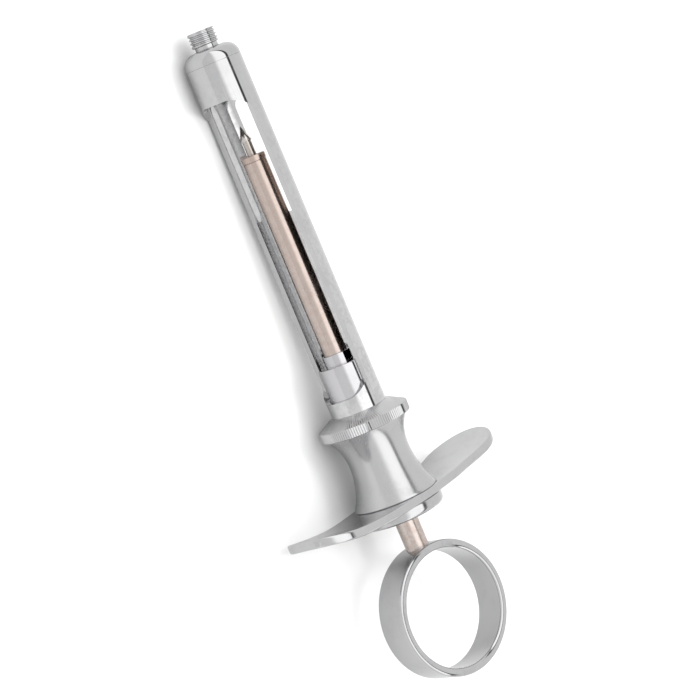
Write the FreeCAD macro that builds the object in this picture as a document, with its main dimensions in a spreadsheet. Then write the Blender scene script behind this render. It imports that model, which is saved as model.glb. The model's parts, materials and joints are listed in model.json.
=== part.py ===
import FreeCAD, Part
import math
import os
import Sketcher

# Aspirating dental syringe, millimetres.  The X axis is the syringe's axis: x = 0 is the nose's end
# face, where the needle seats, and +X runs back to the thumb ring.  The wings lie along Y, +Z is up.

SIZES = {
    # barrel
    "barrel_radius": 6.0,
    "barrel_wall": 1.04,
    "nose_length": 3.16,
    "nose_shoulder": 2.8,
    "nose_end_wall": 1.9,
    "nose_pocket_radius": 3.95,
    "nose_spigot_length": 2.0,
    # needle adaptor
    "needle_thread_radius": 2.95,
    "needle_thread_length": 3.9,
    "needle_neck_radius": 2.45,
    "needle_neck_length": 0.8,
    "needle_passage_radius": 0.6,
    "needle_funnel_radius": 1.4,
    "needle_funnel_depth": 1.0,
    # openings in the barrel
    "window_start": 11.2,
    "window_length": 66.0,
    "window_height": 1.3,
    "window_corner": 3.5,
    "window_overrun": 0.1,
    "window_turn": -5.2,
    "slot_length": 26.2,
    "slot_width": 6.0,
    "slot_corner": 2.4,
    # knurled collar on the barrel's rear
    "collar_start": 80.4,
    "collar_radius": 9.82,
    "collar_cone": 1.95,
    "collar_rim": 2.05,
    "collar_step": 0.35,
    "collar_seat_gap": 0.05,
    # waisted hub
    "hub_front_radius": 8.9,
    "hub_waist_radius": 6.64,
    "hub_base_radius": 9.2,
    "hub_waist_from_front": 6.75,
    "hub_length": 16.15,
    "hub_edge": 0.25,
    # winged plate
    "plate_thickness": 1.9,
    "plate_flat_margin": 0.4,
    "wing_reach": 32.1,
    "wing_bend_radius": 80.0,
    "wing_neck_from_end": 7.3,
    "wing_neck_half": 7.8,
    "wing_end_radius": 8.6,
    "wing_neck_round": 5.0,
    "wing_edge": 0.45,
    # round boss behind the plate
    "nut_radius": 9.15,
    "nut_thickness": 2.4,
    "nut_edge": 1.0,
    "nut_end_wall": 0.8,
    # guide bearing
    "bearing_front": 67.8,
    "bearing_nose_wall": 0.34,
    "bearing_nose_length": 2.35,
    "bearing_shank_radius": 4.0,
    "bearing_relief": 0.3,
    "bearing_relief_start": 84.0,
    "bearing_tail_bush": 2.5,
    # friction ring in the bearing
    "ring_seal_cord": 0.6,
    "ring_seal_x": 79.75,
    "ring_seal_room": 0.07,
    # piston
    "rod_radius": 2.5,
    "head_front": 23.6,
    "head_thickness": 1.3,
    "head_rim": 0.1,
    "harpoon_tip": 17.15,
    "harpoon_head_length": 3.6,
    "harpoon_barb_radius": 1.35,
    "harpoon_undercut": 0.55,
    "harpoon_shank_radius": 0.95,
    "harpoon_root_length": 4.5,
    "harpoon_slit": 0.5,
    "piston_travel_back": 50.8,
    # thumb ring
    "ring_centre": 126.56,
    "ring_outer_radius": 14.45,
    "ring_inner_radius": 12.64,
    "ring_width": 7.8,
    "ring_edge": 0.6,
    "ring_tenon_radius": 1.6,
    "ring_turn": 10.8,
    # fits and small breaks
    "running_fit": 0.03,
    "thread_fit": 0.03,
    "sliding_fit": 0.06,
    "edge_break": 0.2,
}

HARPOON_SLITS = 3
NEAR = 1e-4
SHEET = "Sizes"
ORIGIN = (-1, 1)
HORIZONTAL = -1
VERTICAL = -2


class Size:
    """A number that keeps the sheet expression it comes from."""

    def __init__(self, value, text):
        self.value = value
        self.text = text

    def joined(self, sign, other, value):
        return Size(value, f"({self.text} {sign} {other.text})")

    def __add__(self, other):
        other = as_size(other)
        return self.joined("+", other, self.value + other.value)

    def __sub__(self, other):
        other = as_size(other)
        return self.joined("-", other, self.value - other.value)

    def __mul__(self, other):
        other = as_size(other)
        return self.joined("*", other, self.value * other.value)

    def __truediv__(self, other):
        other = as_size(other)
        return self.joined("/", other, self.value / other.value)

    def __neg__(self):
        return Size(-self.value, f"(0 - {self.text})")


def as_size(number):
    """A plain number as a Size."""
    return number if isinstance(number, Size) else Size(float(number), f"{float(number)}")


def root(size):
    """The square root of a Size."""
    return Size(math.sqrt(size.value), f"sqrt({size.text})")


def other_leg(long_side, leg):
    """The second leg of a right-angled triangle."""
    return root(long_side * long_side - leg * leg)


class Sheet:
    """The spreadsheet of driving sizes; each alias reads as an attribute."""

    def __init__(self, doc):
        self.sheet = doc.addObject("Spreadsheet::Sheet", SHEET)
        for row, (alias, value) in enumerate(SIZES.items(), start=1):
            self.sheet.set(f"A{row}", alias)
            self.sheet.set(f"B{row}", str(value))
            self.sheet.setAlias(f"B{row}", alias)
        doc.recompute()

    def __getattr__(self, alias):
        return Size(float(SIZES[alias]), f"{SHEET}.{alias}")


def bind(thing, name, size):
    """Drive a property of a document object from the sheet."""
    thing.setExpression(name, as_size(size).text)


def new_body(doc, name):
    """A labelled body for one piece."""
    body = doc.addObject("PartDesign::Body", name)
    body.Label = name
    return body


def new_sketch(body, name, role):
    """A sketch on one of the body's own origin planes."""
    plane = next(part for part in body.Origin.OriginFeatures if part.Role == role)
    sketch = body.newObject("Sketcher::SketchObject", name)
    sketch.AttachmentSupport = (plane, [""])
    sketch.MapMode = "FlatFace"
    return sketch


def place_point(sketch, geometry, position, across, up):
    """Hold a sketch point at (across, up) with driven distances from the sketch's origin."""
    for kind, size, axis in (("DistanceX", across, VERTICAL), ("DistanceY", up, HORIZONTAL)):
        if abs(size.value) < NEAR:
            sketch.addConstraint(Sketcher.Constraint("PointOnObject", geometry, position, axis))
            continue
        index = sketch.addConstraint(Sketcher.Constraint(kind, *ORIGIN, geometry, position, size.value))
        sketch.setExpression(f"Constraints[{index}]", size.text)


def arc_through(start, end, radius):
    """An arc from start to end; a positive radius has its centre on the left of the way from start to end."""
    chord = end - start
    half = chord.Length / 2
    left = FreeCAD.Vector(-chord.y, chord.x, 0).normalize()
    side = 1 if radius > 0 else -1
    reach = math.sqrt(max(radius * radius - half * half, 0.0))
    centre = (start + end) / 2 + left * side * reach
    middle = centre - left * side * abs(radius)
    return Part.Arc(start, middle, end)


def draw_outline(sketch, points):
    """A closed outline.  Each point is (across, up), or (across, up, radius) where an arc leads to it."""
    corners = [tuple(as_size(number) for number in point) for point in points]
    spots = [FreeCAD.Vector(corner[0].value, corner[1].value, 0) for corner in corners]
    count = len(corners)
    for index in range(count):
        following = (index + 1) % count
        start, end = spots[index], spots[following]
        if len(corners[following]) == 3:
            sketch.addGeometry(arc_through(start, end, corners[following][2].value))
        else:
            sketch.addGeometry(Part.LineSegment(start, end))
    for index in range(count):
        following = (index + 1) % count
        ends = edge_ends(sketch, index, spots[index])
        next_ends = edge_ends(sketch, following, spots[following])
        joint = Sketcher.Constraint("Coincident", index, ends[1], following, next_ends[0])
        sketch.addConstraint(joint)
        place_point(sketch, index, ends[0], corners[index][0], corners[index][1])
        if len(corners[following]) == 3:
            radius = corners[following][2]
            size = radius if radius.value > 0 else -radius
            mark = sketch.addConstraint(Sketcher.Constraint("Radius", index, size.value))
            sketch.setExpression(f"Constraints[{mark}]", size.text)


def edge_ends(sketch, index, start):
    """Which end of an edge (1 or 2) is its start on the way round, and which its finish."""
    first = sketch.getPoint(index, 1)
    return (1, 2) if (first - start).Length < NEAR else (2, 1)


def draw_circle(sketch, across, up, radius):
    """A circle held by its centre and its radius."""
    across, up, radius = as_size(across), as_size(up), as_size(radius)
    spot = FreeCAD.Vector(across.value, up.value, 0)
    index = sketch.addGeometry(Part.Circle(spot, FreeCAD.Vector(0, 0, 1), radius.value))
    place_point(sketch, index, 3, across, up)
    mark = sketch.addConstraint(Sketcher.Constraint("Radius", index, radius.value))
    sketch.setExpression(f"Constraints[{mark}]", radius.text)


def rounded_box(left, right, half, corner):
    """The outline of a box with round corners, from x = left to right, and half wide each way."""
    return [
        (left + corner, -half, corner),
        (right - corner, -half),
        (right, corner - half, corner),
        (right, half - corner),
        (right - corner, half, corner),
        (left + corner, half),
        (left, half - corner, corner),
        (left, corner - half),
    ]


def spin(body, name, outline):
    """Turn an outline of (x, radius) points about the syringe's axis."""
    sketch = new_sketch(body, f"{name}_outline", "XZ_Plane")
    draw_outline(sketch, outline)
    turned = body.newObject("PartDesign::Revolution", name)
    turned.Profile = sketch
    turned.ReferenceAxis = (sketch, ["H_Axis"])
    turned.Angle = 360
    return turned


def turned_piece(doc, name, outline):
    """A lathe-turned piece of its own."""
    body = new_body(doc, name)
    spin(body, f"{name}_turning", outline)
    return body


def pad(body, name, sketch, length):
    """Material to both sides of a sketch, length thick in all."""
    grown = body.newObject("PartDesign::Pad", name)
    grown.Profile = sketch
    grown.SideType = "Symmetric"
    bind(grown, "Length", length)
    return grown


def pocket(body, name, sketch, length=None, reverse=False, both_ways=False):
    """Cut a sketch out of a body, right through where no length is given."""
    before = solid_volume(body)
    cut = body.newObject("PartDesign::Pocket", name)
    cut.Profile = sketch
    cut.Reversed = reverse
    if both_ways:
        cut.SideType = "Symmetric"
    if length is None:
        cut.Type = "ThroughAll"
    else:
        cut.Type = "Length"
        bind(cut, "Length", length)
    if not solid_volume(body) < before - NEAR:
        raise ValueError(f"{name} cuts nothing")
    return cut


def solid_volume(body):
    """The body's volume as it stands."""
    body.Document.recompute()
    return body.Shape.Volume


def edges_where(shape, test):
    """The names of a shape's edges that pass a test."""
    return [f"Edge{number}" for number, edge in enumerate(shape.Edges, start=1) if test(edge)]


def fillet(body, name, base, edges, radius):
    """Round over some edges of a body's last feature."""
    round_over = body.newObject("PartDesign::Fillet", name)
    round_over.Base = (base, edges)
    bind(round_over, "Radius", radius)
    return round_over


def turn_about_axis(body, angle):
    """Turn a whole piece about the syringe's axis by a driven angle."""
    turn = FreeCAD.Rotation(FreeCAD.Vector(1, 0, 0), angle.value)
    body.Placement = FreeCAD.Placement(FreeCAD.Vector(), turn)
    body.setExpression("Placement.Rotation.Angle", f"{angle.text} * 1 deg")


def needle_adaptor(doc, size):
    """The threaded stub; its root is screwed into the nose, and a funnel leads the needle in."""
    tip = -size.needle_thread_length
    inner = size.nose_end_wall
    half_funnel = size.needle_funnel_depth / 2
    mouth = size.needle_passage_radius + half_funnel
    outline = [
        (tip, size.needle_funnel_radius),
        (tip, size.needle_thread_radius - size.edge_break),
        (tip + size.edge_break, size.needle_thread_radius),
        (-size.needle_neck_length, size.needle_thread_radius),
        (-size.needle_neck_length, size.needle_neck_radius),
        (inner, size.needle_neck_radius),
        (inner, mouth),
        (inner - half_funnel, size.needle_passage_radius),
        (tip + size.needle_funnel_depth, size.needle_passage_radius),
    ]
    return turned_piece(doc, "needle_adaptor", outline)


def barrel_nose(doc, size):
    """The cap with the round shoulder, soldered into the tube; the cartridge's neck sits inside."""
    bore = size.needle_neck_radius + size.thread_fit
    tube_bore = size.barrel_radius - size.barrel_wall
    spigot_end = size.nose_length + size.nose_spigot_length
    outline = [
        (Size(0.0, "0"), bore),
        (Size(0.0, "0"), size.barrel_radius - size.nose_shoulder),
        (size.nose_shoulder, size.barrel_radius, -size.nose_shoulder),
        (size.nose_length, size.barrel_radius),
        (size.nose_length, tube_bore),
        (spigot_end, tube_bore),
        (spigot_end, size.nose_pocket_radius),
        (size.nose_end_wall, size.nose_pocket_radius),
        (size.nose_end_wall, bore),
    ]
    return turned_piece(doc, "barrel_nose", outline)


def barrel_tube(doc, size):
    """The tube, its wide front window and the narrow slot opposite, turned as one about the axis."""
    bore = size.barrel_radius - size.barrel_wall
    body = turned_piece(doc, "barrel_tube", [
        (size.nose_length, bore),
        (size.nose_length, size.barrel_radius),
        (collar_rear(size), size.barrel_radius),
        (collar_rear(size), bore),
    ])
    window_end = size.window_start + size.window_length
    half = other_leg(size.barrel_radius, size.window_height) + size.window_overrun
    window = new_sketch(body, "window_outline", "XZ_Plane")
    draw_outline(window, rounded_box(size.window_start, window_end, half, size.window_corner))
    bind(window, "AttachmentOffset.Base.z", size.window_height)
    pocket(body, "window", window, reverse=True)
    slot = new_sketch(body, "slot_outline", "XZ_Plane")
    slot_end = size.window_start + size.slot_length
    draw_outline(slot, rounded_box(size.window_start, slot_end, size.slot_width / 2, size.slot_corner))
    pocket(body, "slot", slot)
    turn_about_axis(body, size.window_turn)
    return body


def collar_rear(size):
    """Where the collar and the tube end."""
    return size.collar_start + size.collar_cone + size.collar_rim


def barrel_collar(doc, size):
    """The disc soldered round the tube's rear, with a shallow cone to the front."""
    front = size.collar_start
    rim_front = front + size.collar_cone
    rear = collar_rear(size)
    outline = [
        (front, size.barrel_radius),
        (front, size.barrel_radius + size.collar_step),
        (rim_front, size.collar_radius - size.edge_break),
        (rim_front + size.edge_break, size.collar_radius),
        (rear - size.edge_break, size.collar_radius),
        (rear, size.collar_radius - size.edge_break),
        (rear, size.barrel_radius),
    ]
    return turned_piece(doc, "barrel_collar", outline)


def hub_front(size):
    """Where the hub starts, with room for the collar to turn."""
    return collar_rear(size) + size.collar_seat_gap


def hub_base(size):
    """Where the hub ends on the plate."""
    return hub_front(size) + size.hub_length


def arc_radius(run, rise):
    """The radius of an arc that leaves a level line and rises over a run."""
    return (run * run + rise * rise) / (rise * 2)


def grip_hub(doc, size):
    """The waisted spool: two hollow arcs that meet level at the waist."""
    bore = size.bearing_shank_radius + size.thread_fit
    waist = hub_front(size) + size.hub_waist_from_front
    base_edge = hub_base(size) - size.hub_edge
    front_arc = arc_radius(size.hub_waist_from_front, size.hub_front_radius - size.hub_waist_radius)
    rear_arc = arc_radius(base_edge - waist, size.hub_base_radius - size.hub_waist_radius)
    outline = [
        (hub_front(size), bore),
        (hub_front(size), size.hub_front_radius),
        (waist, size.hub_waist_radius, front_arc),
        (base_edge, size.hub_base_radius, rear_arc),
        (hub_base(size), size.hub_base_radius - size.hub_edge),
        (hub_base(size), bore),
    ]
    return turned_piece(doc, "grip_hub", outline)


def wing_side(size):
    """The plate's side view: level over the hub, then both wings bend towards the needle."""
    front = hub_base(size)
    back = front + size.plate_thickness
    flat = size.hub_base_radius + size.plate_flat_margin
    reach = size.wing_reach + size.wing_end_radius
    run = reach - flat
    inner = size.wing_bend_radius
    outer = inner + size.plate_thickness
    front_drop = inner - other_leg(inner, run)
    back_drop = outer - other_leg(outer, run)
    return [
        (front - front_drop, -reach),
        (front, -flat, inner),
        (front, flat),
        (front - front_drop, reach, inner),
        (back - back_drop, reach),
        (back, flat, -outer),
        (back, -flat),
        (back - back_drop, -reach, -outer),
    ]


def touch_point(circle_at, radius, across, up, side):
    """Where a straight line from (across, up) touches a circle centred at (circle_at, 0)."""
    away = across - circle_at
    span = away * away + up * up
    reach = root(span - radius * radius) * side
    touch_across = circle_at + radius * (radius * away - reach * up) / span
    touch_up = radius * (radius * up + reach * away) / span
    return touch_across, touch_up


def neck_reach(size):
    """How far out along the wing its narrowest place is."""
    return size.wing_reach - size.wing_end_radius - size.wing_neck_from_end


def wing_face(size):
    """The plate's front view in (y, z): a round middle, straight sides, a narrow neck and round ends."""
    zero = Size(0.0, "0")
    end = size.wing_end_radius
    middle = size.hub_base_radius
    neck = neck_reach(size)
    neck_half = size.wing_neck_half
    root_y, root_z = touch_point(zero, middle, neck, neck_half, 1)
    end_y, end_z = touch_point(size.wing_reach - end, end, neck, neck_half, -1)
    return [
        (root_y, root_z, -middle),
        (neck, neck_half),
        (end_y, end_z),
        (size.wing_reach, zero, -end),
        (end_y, -end_z, -end),
        (neck, -neck_half),
        (root_y, -root_z),
        (-root_y, -root_z, -middle),
        (-neck, -neck_half),
        (-end_y, -end_z),
        (-size.wing_reach, zero, -end),
        (-end_y, end_z, -end),
        (-neck, neck_half),
        (-root_y, root_z),
    ]


def finger_grip(doc, size):
    """The winged plate: the side view grown to full width, then trimmed to the front view."""
    body = new_body(doc, "finger_grip")
    side = new_sketch(body, "grip_side", "XY_Plane")
    draw_outline(side, wing_side(size))
    spare = size.wing_end_radius * 2
    pad(body, "grip_blank", side, (size.hub_base_radius + spare) * 2)
    face = new_sketch(body, "grip_face", "YZ_Plane")
    draw_outline(face, wing_face(size))
    frame = size.wing_reach + spare
    add_frame(face, frame, size.hub_base_radius + spare * 2)
    pocket(body, "grip_trim", face, both_ways=True)
    bore = new_sketch(body, "grip_bore_outline", "YZ_Plane")
    zero = Size(0.0, "0")
    draw_circle(bore, zero, zero, size.bearing_shank_radius + size.thread_fit)
    trimmed = pocket(body, "grip_bore", bore, both_ways=True)
    necks = edges_where(trimmed.Shape, lambda edge: on_neck(edge, size))
    eased = fillet(body, "grip_necks", trimmed, necks, size.wing_neck_round)
    body.Document.recompute()
    rims = edges_where(eased.Shape, lambda edge: on_rim(edge, size))
    fillet(body, "grip_edges", eased, rims, size.wing_edge)
    return body


def add_frame(sketch, half_across, half_up):
    """A rectangle round what the sketch already holds."""
    first = len(sketch.Geometry)
    corners = [
        (-half_across, -half_up), (half_across, -half_up), (half_across, half_up), (-half_across, half_up),
    ]
    spots = [FreeCAD.Vector(across.value, up.value, 0) for across, up in corners]
    for index in range(4):
        sketch.addGeometry(Part.LineSegment(spots[index], spots[(index + 1) % 4]))
    for index in range(4):
        edge = first + index
        following = first + (index + 1) % 4
        sketch.addConstraint(Sketcher.Constraint("Coincident", edge, 2, following, 1))
        place_point(sketch, edge, 1, *corners[index])


def on_neck(edge, size):
    """Whether an edge crosses the plate's thickness at one of the four necks."""
    start, end = edge.firstVertex().Point, edge.lastVertex().Point
    neck_y, neck_z = neck_reach(size).value, size.wing_neck_half.value
    return all(math.hypot(abs(spot.y) - neck_y, abs(spot.z) - neck_z) < NEAR for spot in (start, end))


def on_rim(edge, size):
    """Whether an edge runs along the plate's outline, not across its thickness or round its bore."""
    start, end = edge.firstVertex().Point, edge.lastVertex().Point
    middle = edge.valueAt((edge.FirstParameter + edge.LastParameter) / 2)
    bore = (size.bearing_shank_radius + size.thread_fit).value
    beyond_bore = math.hypot(middle.y, middle.z) > bore + NEAR
    runs_across = math.hypot(start.y - end.y, start.z - end.z) < NEAR
    return beyond_bore and not runs_across


def nut_front(size):
    """Where the boss starts, on the plate's back."""
    return hub_base(size) + size.plate_thickness


def nut_rear(size):
    """Where the boss ends."""
    return nut_front(size) + size.nut_thickness


def flange_nut(doc, size):
    """The round boss that screws on the bearing's tail and clamps the plate to the hub."""
    thread = size.bearing_shank_radius + size.thread_fit
    rod_hole = size.rod_radius + size.bearing_relief
    floor = nut_rear(size) - size.nut_end_wall
    outline = [
        (nut_front(size), thread),
        (nut_front(size), size.nut_radius - size.edge_break),
        (nut_front(size) + size.edge_break, size.nut_radius),
        (nut_rear(size) - size.nut_edge, size.nut_radius),
        (nut_rear(size), size.nut_radius - size.nut_edge, -size.nut_edge),
        (nut_rear(size), rod_hole),
        (floor, rod_hole),
        (floor, thread),
    ]
    return turned_piece(doc, "flange_nut", outline)


def head_rear(size):
    """Where the piston's head meets the rod."""
    return size.head_front + size.head_thickness


def head_radius(size):
    """The head's radius, a little more than the rod's."""
    return size.rod_radius + size.head_rim


def guide_bearing(doc, size):
    """The bush: a nose that meets the cartridge, a body that fills the tube, and a shank for the nut.

    The counterbore in the nose takes the piston head and the harpoon when the rod is drawn back,
    and the groove holds the friction ring.
    """
    front = size.bearing_front
    step = front + size.bearing_nose_length
    bore = size.rod_radius + size.running_fit
    relief = size.rod_radius + size.bearing_relief
    counter = head_radius(size) + size.running_fit * 2
    nose_radius = counter + size.bearing_nose_wall
    counter_end = head_rear(size) + size.piston_travel_back
    body_radius = size.barrel_radius - size.barrel_wall - size.sliding_fit
    tail = nut_rear(size) - size.nut_end_wall - size.thread_fit
    groove_half = size.ring_seal_cord + size.ring_seal_room
    groove_depth = size.rod_radius + size.running_fit + size.ring_seal_cord * 2 + size.ring_seal_room
    bush_start = tail - size.bearing_tail_bush
    outline = [
        (front, counter),
        (front, nose_radius - size.edge_break),
        (front + size.edge_break, nose_radius),
        (step, nose_radius),
        (step, body_radius - size.edge_break),
        (step + size.edge_break, body_radius),
        (hub_front(size), body_radius),
        (hub_front(size), size.bearing_shank_radius),
        (tail, size.bearing_shank_radius),
        (tail, bore),
        (bush_start, bore),
        (bush_start, relief),
        (size.bearing_relief_start, relief),
        (size.bearing_relief_start, bore),
        (size.ring_seal_x + groove_half, bore),
        (size.ring_seal_x + groove_half, groove_depth),
        (size.ring_seal_x - groove_half, groove_depth),
        (size.ring_seal_x - groove_half, bore),
        (counter_end, bore),
        (counter_end, counter),
    ]
    return turned_piece(doc, "guide_bearing", outline)


def friction_ring(doc, size):
    """The rubber ring round the rod."""
    ring = doc.addObject("Part::Torus", "friction_ring")
    ring.Label = "friction_ring"
    bind(ring, "Radius1", size.rod_radius + size.running_fit + size.ring_seal_cord)
    bind(ring, "Radius2", size.ring_seal_cord)
    about_y = FreeCAD.Rotation(FreeCAD.Vector(0, 1, 0), 90)
    ring.Placement = FreeCAD.Placement(FreeCAD.Vector(size.ring_seal_x.value, 0, 0), about_y)
    bind(ring, "Placement.Base.x", size.ring_seal_x)
    return ring


def piston_rod(doc, size):
    """The rod, socketed for the harpoon, hollowed at its end to sit on the ring, with a tenon in it."""
    outer = size.ring_outer_radius
    past_ring = size.ring_centre - other_leg(outer, size.rod_radius) + size.edge_break
    socket = size.harpoon_shank_radius + size.thread_fit
    socket_end = head_rear(size) + size.harpoon_root_length
    zero = Size(0.0, "0")
    body = turned_piece(doc, "piston_rod", [
        (head_rear(size), socket),
        (head_rear(size), size.rod_radius),
        (past_ring, size.rod_radius),
        (past_ring, zero),
        (socket_end, zero),
        (socket_end, socket),
    ])
    seat = new_sketch(body, "rod_seat_outline", "XY_Plane")
    draw_circle(seat, size.ring_centre, zero, outer)
    pocket(body, "rod_seat", seat, both_ways=True)
    needle_side = size.ring_centre - outer - size.rod_radius
    spin(body, "rod_tenon", [
        (needle_side, zero),
        (needle_side, size.ring_tenon_radius),
        (size.ring_centre - size.ring_inner_radius + size.edge_break * 2, size.ring_tenon_radius),
        (size.ring_centre - size.ring_inner_radius + size.edge_break * 2, zero),
    ])
    flush = new_sketch(body, "rod_flush_outline", "XY_Plane")
    draw_circle(flush, size.ring_centre, zero, size.ring_inner_radius)
    pocket(body, "rod_flush", flush, both_ways=True)
    turn_about_axis(body, size.ring_turn)
    return body


def piston_head(doc, size):
    """The thin rim at the rod's front, a little larger than the rod."""
    hole = size.harpoon_shank_radius + size.thread_fit
    half_break = size.edge_break / 2
    rim = head_radius(size)
    outline = [
        (size.head_front, hole),
        (size.head_front, rim - half_break),
        (size.head_front + half_break, rim),
        (head_rear(size) - half_break, rim),
        (head_rear(size), rim - half_break),
        (head_rear(size), hole),
    ]
    return turned_piece(doc, "piston_head", outline)


def harpoon(doc, size):
    """The barbed point: a cone with an undercut skirt, slit into barbs, on a slim shank."""
    zero = Size(0.0, "0")
    skirt = size.harpoon_tip + size.harpoon_head_length
    shank = size.harpoon_shank_radius
    root_end = head_rear(size) + size.harpoon_root_length - size.thread_fit
    body = turned_piece(doc, "harpoon", [
        (size.harpoon_tip, zero),
        (skirt, size.harpoon_barb_radius),
        (skirt - size.harpoon_undercut, shank),
        (root_end, shank),
        (root_end, zero),
    ])
    slit = new_sketch(body, "barb_slit_outline", "XY_Plane")
    slit_start = skirt - size.harpoon_undercut * 2
    draw_outline(slit, [
        (slit_start, shank),
        (skirt + size.edge_break, shank),
        (skirt + size.edge_break, size.harpoon_barb_radius + size.edge_break),
        (slit_start, size.harpoon_barb_radius + size.edge_break),
    ])
    cut = pocket(body, "barb_slit", slit, length=size.harpoon_slit, both_ways=True)
    pattern = body.newObject("PartDesign::PolarPattern", "barb_slits")
    pattern.Originals = [cut]
    pattern.Axis = (next(part for part in body.Origin.OriginFeatures if part.Role == "X_Axis"), [""])
    pattern.Angle = 360
    pattern.Occurrences = HARPOON_SLITS
    body.Tip = pattern
    return body


def on_ring_side(edge, size):
    """Whether an edge lies in one of the ring's two flat sides."""
    level = edge.BoundBox.ZLength < NEAR
    return level and abs(abs(edge.firstVertex().Point.z) - size.ring_width.value / 2) < NEAR


def thumb_ring(doc, size):
    """The band ring, drilled for the rod's tenon."""
    body = new_body(doc, "thumb_ring")
    zero = Size(0.0, "0")
    band = new_sketch(body, "ring_outline", "XY_Plane")
    draw_circle(band, size.ring_centre, zero, size.ring_outer_radius)
    draw_circle(band, size.ring_centre, zero, size.ring_inner_radius)
    blank = pad(body, "ring_band", band, size.ring_width)
    body.Document.recompute()
    rims = edges_where(blank.Shape, lambda edge: on_ring_side(edge, size))
    fillet(body, "ring_edges", blank, rims, size.ring_edge)
    drill = new_sketch(body, "tenon_hole_outline", "YZ_Plane")
    draw_circle(drill, zero, zero, size.ring_tenon_radius + size.thread_fit)
    pocket(body, "tenon_hole", drill, length=size.ring_centre, reverse=True)
    turn_about_axis(body, size.ring_turn)
    return body


MAKERS = (
    needle_adaptor, barrel_nose, barrel_tube, barrel_collar, grip_hub, finger_grip, flange_nut,
    guide_bearing, friction_ring, piston_rod, piston_head, harpoon, thumb_ring,
)


def check(doc, pieces):
    """Stop where an object failed, or a piece is not one valid solid."""
    for thing in doc.Objects:
        if "Invalid" in thing.State or "Error" in thing.State:
            raise ValueError(f"{thing.Name} failed: {thing.State}")
    for piece in pieces:
        if piece.Shape.isNull() or not piece.Shape.isValid() or len(piece.Shape.Solids) != 1:
            raise ValueError(f"{piece.Label} is not one valid solid")


def main():
    """Build every piece, check them, and write one STEP file each."""
    doc = FreeCAD.newDocument("dental_syringe")
    size = Sheet(doc)
    pieces = [make(doc, size) for make in MAKERS]
    doc.recompute()
    check(doc, pieces)
    os.makedirs("parts", exist_ok=True)
    for piece in pieces:
        piece.Shape.exportStep(os.path.join("parts", f"{piece.Label}.step"))
        box = piece.Shape.BoundBox
        print(f"{piece.Label:16s} volume {piece.Shape.Volume:9.2f}  x {box.XMin:7.2f} {box.XMax:7.2f}"
              f"  y {box.YMin:7.2f} {box.YMax:7.2f}  z {box.ZMin:7.2f} {box.ZMax:7.2f}")


main()
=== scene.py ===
"""An aspirating dental syringe in polished metal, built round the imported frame, on a pale studio floor."""

import json
import logging
import math
from collections.abc import Callable, Iterable
from dataclasses import dataclass, field
from enum import Enum

import bmesh
import bpy
from mathutils import Matrix, Quaternion, Vector


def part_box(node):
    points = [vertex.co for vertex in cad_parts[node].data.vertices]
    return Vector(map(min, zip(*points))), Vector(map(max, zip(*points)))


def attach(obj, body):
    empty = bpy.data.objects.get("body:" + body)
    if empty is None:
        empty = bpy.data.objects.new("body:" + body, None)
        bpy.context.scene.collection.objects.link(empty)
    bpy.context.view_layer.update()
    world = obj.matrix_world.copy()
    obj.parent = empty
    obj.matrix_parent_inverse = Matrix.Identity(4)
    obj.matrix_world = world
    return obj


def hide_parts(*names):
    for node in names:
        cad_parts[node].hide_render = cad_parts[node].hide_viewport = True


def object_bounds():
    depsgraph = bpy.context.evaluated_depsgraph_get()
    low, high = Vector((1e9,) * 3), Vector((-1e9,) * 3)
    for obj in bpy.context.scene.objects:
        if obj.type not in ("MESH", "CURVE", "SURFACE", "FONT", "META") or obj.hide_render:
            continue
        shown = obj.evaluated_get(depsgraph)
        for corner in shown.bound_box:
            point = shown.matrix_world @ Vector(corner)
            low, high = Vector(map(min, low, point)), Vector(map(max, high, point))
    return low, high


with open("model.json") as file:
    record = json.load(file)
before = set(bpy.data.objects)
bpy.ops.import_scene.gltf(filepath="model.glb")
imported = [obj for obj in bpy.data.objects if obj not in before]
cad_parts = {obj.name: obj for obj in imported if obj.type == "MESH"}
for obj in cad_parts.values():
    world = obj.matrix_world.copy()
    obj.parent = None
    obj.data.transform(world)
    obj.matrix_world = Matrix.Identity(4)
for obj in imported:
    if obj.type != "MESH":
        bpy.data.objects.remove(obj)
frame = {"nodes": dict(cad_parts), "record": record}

CAD_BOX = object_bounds()
MM = 0.001
AXIS = Vector((1, 0, 0))

log = logging.getLogger("syringe")


# ---------------------------------------------------------------------------------------------
# outlines and meshes, in millimetres until a piece is finished


@dataclass(frozen=True)
class Corner:
    """A corner of an outline: along the axis, out from it, and the radius that rounds it."""

    along: float
    out: float
    ease: float = 0.0


@dataclass(frozen=True)
class Span:
    """Where a turned node lies: its two ends along the axis and its radius, in millimetres."""

    start: float
    end: float
    radius: float

    @classmethod
    def of(cls, node: str) -> "Span":
        """The span of a node of the frame."""
        low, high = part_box(node)
        return cls(low.x / MM, high.x / MM, (high.y - low.y) / 2 / MM)


def eased_corner(before: Vector, corner: Vector, after: Vector, ease: float) -> list[Vector]:
    """Rounds one corner of an outline.

    Args:
        before: the point that the outline comes from.
        corner: the sharp corner.
        after: the point that the outline goes to.
        ease: the radius of the arc that replaces the corner.

    Returns:
        The points of the arc, or the corner itself where it isn't rounded.
    """
    incoming = (corner - before).normalized()
    outgoing = (after - corner).normalized()
    turn = incoming.angle_signed(outgoing)
    if ease <= 0 or abs(turn) < math.radians(1):
        return [corner]
    reach = ease * math.tan(abs(turn) / 2)
    first = corner - incoming * reach
    side = Vector((-incoming.y, incoming.x)) * (-1 if turn > 0 else 1)
    centre = first + side * ease
    steps = max(3, round(abs(turn) * 3 + ease * 4))
    arm = first - centre
    points = []
    for step in range(steps + 1):
        angle = -turn * step / steps
        points.append(centre + Vector((
            arm.x * math.cos(angle) - arm.y * math.sin(angle),
            arm.x * math.sin(angle) + arm.y * math.cos(angle),
        )))
    return points


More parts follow.
